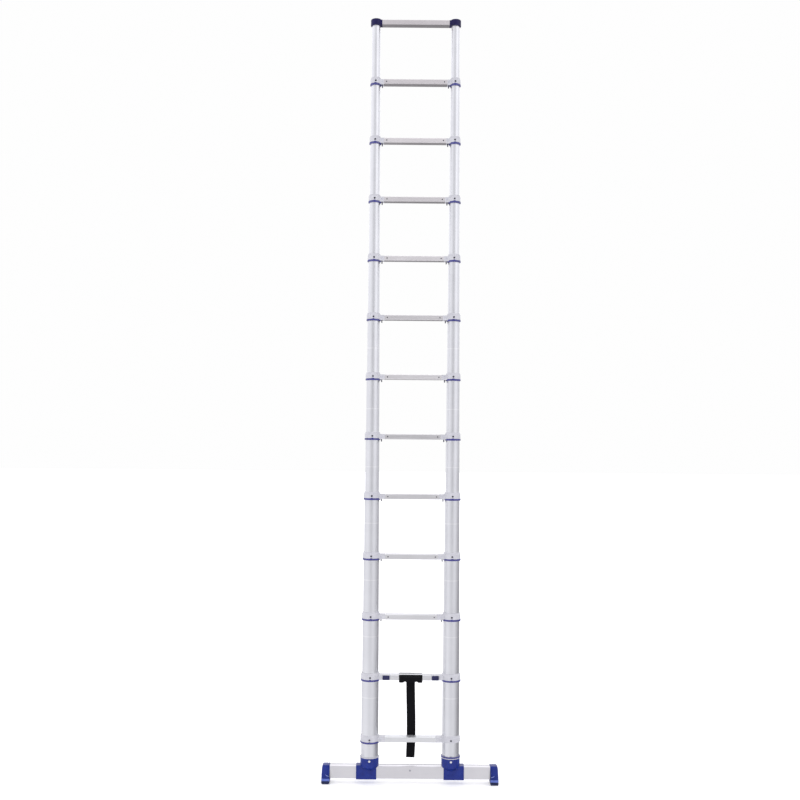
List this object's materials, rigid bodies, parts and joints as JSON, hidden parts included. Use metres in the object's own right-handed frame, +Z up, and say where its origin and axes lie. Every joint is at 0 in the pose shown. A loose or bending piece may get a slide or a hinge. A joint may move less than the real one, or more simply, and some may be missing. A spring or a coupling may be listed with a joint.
{
  "type": "telescoping ladder",
  "caption": "Telescoping ladder with nested round rails, box rungs, moulded collars, thumb release buttons and a stabiliser bar.",
  "frame": {"origin": "on the floor, midway between the two rails and on their common axis plane", "axes": "+Z up along the rails, +X along the rungs to the right as seen by the climber, -Y towards the climber"},
  "size_m": [0.865, 0.096, 3.784],
  "materials": {
    "rail_aluminium": "satin anodised",
    "rung_aluminium": "satin anodised, ribbed tread",
    "bar_aluminium": "satin anodised",
    "collar_plastic": "moulded, pale grey with a dark blue ring",
    "latch_plastic": "moulded",
    "cap_plastic": "moulded, dark blue",
    "button_plastic": "moulded, dark blue",
    "blue_plastic": "moulded, blue",
    "blue_rubber": "moulded, blue",
    "plated_steel": "zinc plated",
    "strap_webbing": "woven, black"
  },
  "bodies": {
    "base": {"rails_base": "rail_aluminium", "rung_01": "rung_aluminium", "rung_02": "rung_aluminium", "collars_01": "collar_plastic", "collars_02": "collar_plastic", "latch_springs": "plated_steel", "stabiliser_bar": "bar_aluminium", "bracket_left": "blue_plastic", "bracket_right": "blue_plastic", "bracket_bolts": "plated_steel", "end_caps": "blue_plastic", "foot_pads": "blue_rubber", "carry_strap": "strap_webbing"},
    "button_left": {"release_button_left": "button_plastic", "lock_pin_left": "plated_steel"},
    "button_right": {"release_button_right": "button_plastic", "lock_pin_right": "plated_steel"},
    "section_03": {"rails_03": "rail_aluminium", "rung_03": "rung_aluminium", "collars_03": "collar_plastic"},
    "latch_03": {"latches_03": "latch_plastic"},
    "section_04": {"rails_04": "rail_aluminium", "rung_04": "rung_aluminium", "collars_04": "collar_plastic"},
    "latch_04": {"latches_04": "latch_plastic"},
    "section_05": {"rails_05": "rail_aluminium", "rung_05": "rung_aluminium", "collars_05": "collar_plastic"},
    "latch_05": {"latches_05": "latch_plastic"},
    "section_06": {"rails_06": "rail_aluminium", "rung_06": "rung_aluminium", "collars_06": "collar_plastic"},
    "latch_06": {"latches_06": "latch_plastic"},
    "section_07": {"rails_07": "rail_aluminium", "rung_07": "rung_aluminium", "collars_07": "collar_plastic"},
    "latch_07": {"latches_07": "latch_plastic"},
    "section_08": {"rails_08": "rail_aluminium", "rung_08": "rung_aluminium", "collars_08": "collar_plastic"},
    "latch_08": {"latches_08": "latch_plastic"},
    "section_09": {"rails_09": "rail_aluminium", "rung_09": "rung_aluminium", "collars_09": "collar_plastic"},
    "latch_09": {"latches_09": "latch_plastic"},
    "section_10": {"rails_10": "rail_aluminium", "rung_10": "rung_aluminium", "collars_10": "collar_plastic"},
    "latch_10": {"latches_10": "latch_plastic"},
    "section_11": {"rails_11": "rail_aluminium", "rung_11": "rung_aluminium", "collars_11": "collar_plastic"},
    "latch_11": {"latches_11": "latch_plastic"},
    "section_12": {"rails_12": "rail_aluminium", "rung_12": "rung_aluminium", "collars_12": "collar_plastic"},
    "latch_12": {"latches_12": "latch_plastic"},
    "section_13": {"rails_13": "rail_aluminium", "rung_13": "rung_aluminium", "top_caps": "cap_plastic"}
  },
  "joints": [
    {"name": "section_03_slide", "type": "slide", "parent": "base", "child": "section_03", "axis": [0, 0, 1], "range_m": [-0.252, 0]},
    {"name": "latch_03_lift", "type": "slide", "parent": "section_03", "child": "latch_03", "axis": [0, 0, 1], "range_m": [0, 0.007], "stiffness_N_per_m": 40, "springref_m": -0.004},
    {"name": "section_04_slide", "type": "slide", "parent": "section_03", "child": "section_04", "axis": [0, 0, 1], "range_m": [-0.252, 0]},
    {"name": "latch_04_lift", "type": "slide", "parent": "section_04", "child": "latch_04", "axis": [0, 0, 1], "range_m": [0, 0.007], "stiffness_N_per_m": 40, "springref_m": -0.004},
    {"name": "section_05_slide", "type": "slide", "parent": "section_04", "child": "section_05", "axis": [0, 0, 1], "range_m": [-0.252, 0]},
    {"name": "latch_05_lift", "type": "slide", "parent": "section_05", "child": "latch_05", "axis": [0, 0, 1], "range_m": [0, 0.007], "stiffness_N_per_m": 40, "springref_m": -0.004},
    {"name": "section_06_slide", "type": "slide", "parent": "section_05", "child": "section_06", "axis": [0, 0, 1], "range_m": [-0.252, 0]},
    {"name": "latch_06_lift", "type": "slide", "parent": "section_06", "child": "latch_06", "axis": [0, 0, 1], "range_m": [0, 0.007], "stiffness_N_per_m": 40, "springref_m": -0.004},
    {"name": "section_07_slide", "type": "slide", "parent": "section_06", "child": "section_07", "axis": [0, 0, 1], "range_m": [-0.252, 0]},
    {"name": "latch_07_lift", "type": "slide", "parent": "section_07", "child": "latch_07", "axis": [0, 0, 1], "range_m": [0, 0.007], "stiffness_N_per_m": 40, "springref_m": -0.004},
    {"name": "section_08_slide", "type": "slide", "parent": "section_07", "child": "section_08", "axis": [0, 0, 1], "range_m": [-0.252, 0]},
    {"name": "latch_08_lift", "type": "slide", "parent": "section_08", "child": "latch_08", "axis": [0, 0, 1], "range_m": [0, 0.007], "stiffness_N_per_m": 40, "springref_m": -0.004},
    {"name": "section_09_slide", "type": "slide", "parent": "section_08", "child": "section_09", "axis": [0, 0, 1], "range_m": [-0.252, 0]},
    {"name": "latch_09_lift", "type": "slide", "parent": "section_09", "child": "latch_09", "axis": [0, 0, 1], "range_m": [0, 0.007], "stiffness_N_per_m": 40, "springref_m": -0.004},
    {"name": "section_10_slide", "type": "slide", "parent": "section_09", "child": "section_10", "axis": [0, 0, 1], "range_m": [-0.252, 0]},
    {"name": "latch_10_lift", "type": "slide", "parent": "section_10", "child": "latch_10", "axis": [0, 0, 1], "range_m": [0, 0.007], "stiffness_N_per_m": 40, "springref_m": -0.004},
    {"name": "section_11_slide", "type": "slide", "parent": "section_10", "child": "section_11", "axis": [0, 0, 1], "range_m": [-0.252, 0]},
    {"name": "latch_11_lift", "type": "slide", "parent": "section_11", "child": "latch_11", "axis": [0, 0, 1], "range_m": [0, 0.007], "stiffness_N_per_m": 40, "springref_m": -0.004},
    {"name": "section_12_slide", "type": "slide", "parent": "section_11", "child": "section_12", "axis": [0, 0, 1], "range_m": [-0.252, 0]},
    {"name": "latch_12_lift", "type": "slide", "parent": "section_12", "child": "latch_12", "axis": [0, 0, 1], "range_m": [0, 0.007], "stiffness_N_per_m": 40, "springref_m": -0.004},
    {"name": "section_13_slide", "type": "slide", "parent": "section_12", "child": "section_13", "axis": [0, 0, 1], "range_m": [-0.252, 0]},
    {"name": "button_left_slide", "type": "slide", "parent": "base", "child": "button_left", "axis": [1, 0, 0], "range_m": [0, 0.01], "stiffness_N_per_m": 400, "springref_m": -0.004, "deforming": ["latch_springs"]},
    {"name": "button_right_slide", "type": "slide", "parent": "base", "child": "button_right", "axis": [-1, 0, 0], "range_m": [0, 0.01], "stiffness_N_per_m": 400, "springref_m": -0.004}
  ]
}
